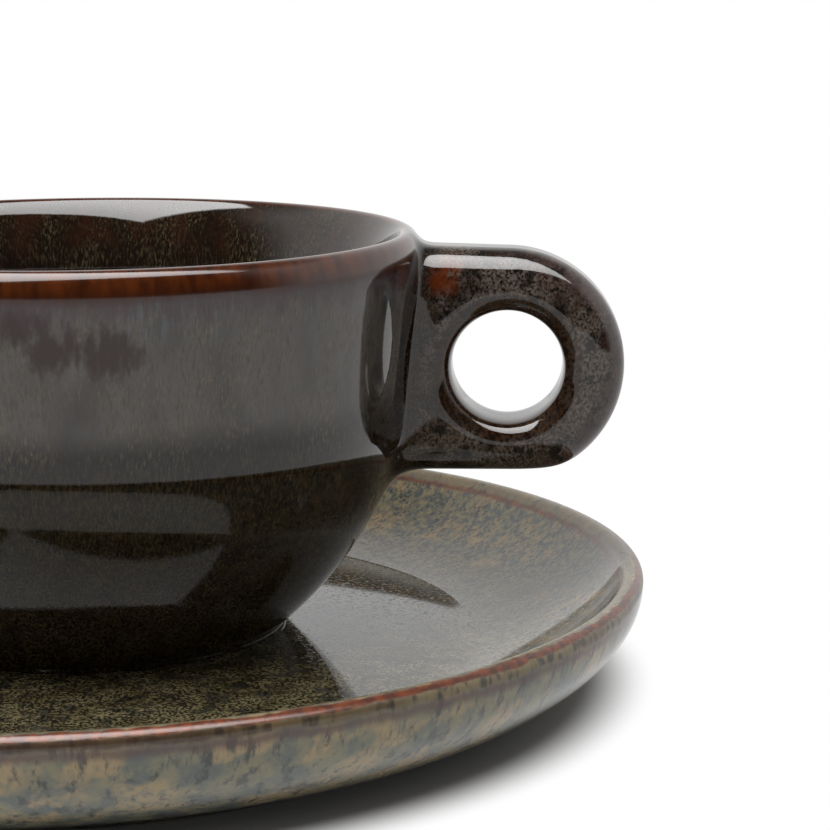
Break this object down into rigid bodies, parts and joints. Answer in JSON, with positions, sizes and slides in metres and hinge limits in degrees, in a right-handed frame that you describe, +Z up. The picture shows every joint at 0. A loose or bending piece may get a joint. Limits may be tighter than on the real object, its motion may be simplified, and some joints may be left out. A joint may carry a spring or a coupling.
{
  "type": "cappuccino cup with saucer",
  "caption": "Low wide cappuccino cup with a thick slab ear handle and round finger hole, standing on a low saucer with a flat seat and a steep round rim.",
  "frame": {"origin": "on the table, under the centre of the saucer", "axes": "+Z up, +X along the cup's handle"},
  "size_m": [0.1612, 0.1612, 0.0613],
  "materials": {
    "saucer_glaze": "gloss reactive glaze, olive tan with dark specks, rust line on the rim",
    "bowl_glaze": "gloss reactive glaze, dark brown with tan flecks, rust lip",
    "handle_glaze": "gloss reactive glaze, dark brown mottled with grey tan and rust"
  },
  "bodies": {
    "saucer": {"saucer": "saucer_glaze"},
    "cup": {"cup_bowl": "bowl_glaze", "cup_handle": "handle_glaze"}
  },
  "joints": [
    {"name": "cup_lift", "type": "slide", "parent": "saucer", "child": "cup", "axis": [0, 0, 1], "range_m": [0, 0.08]}
  ]
}
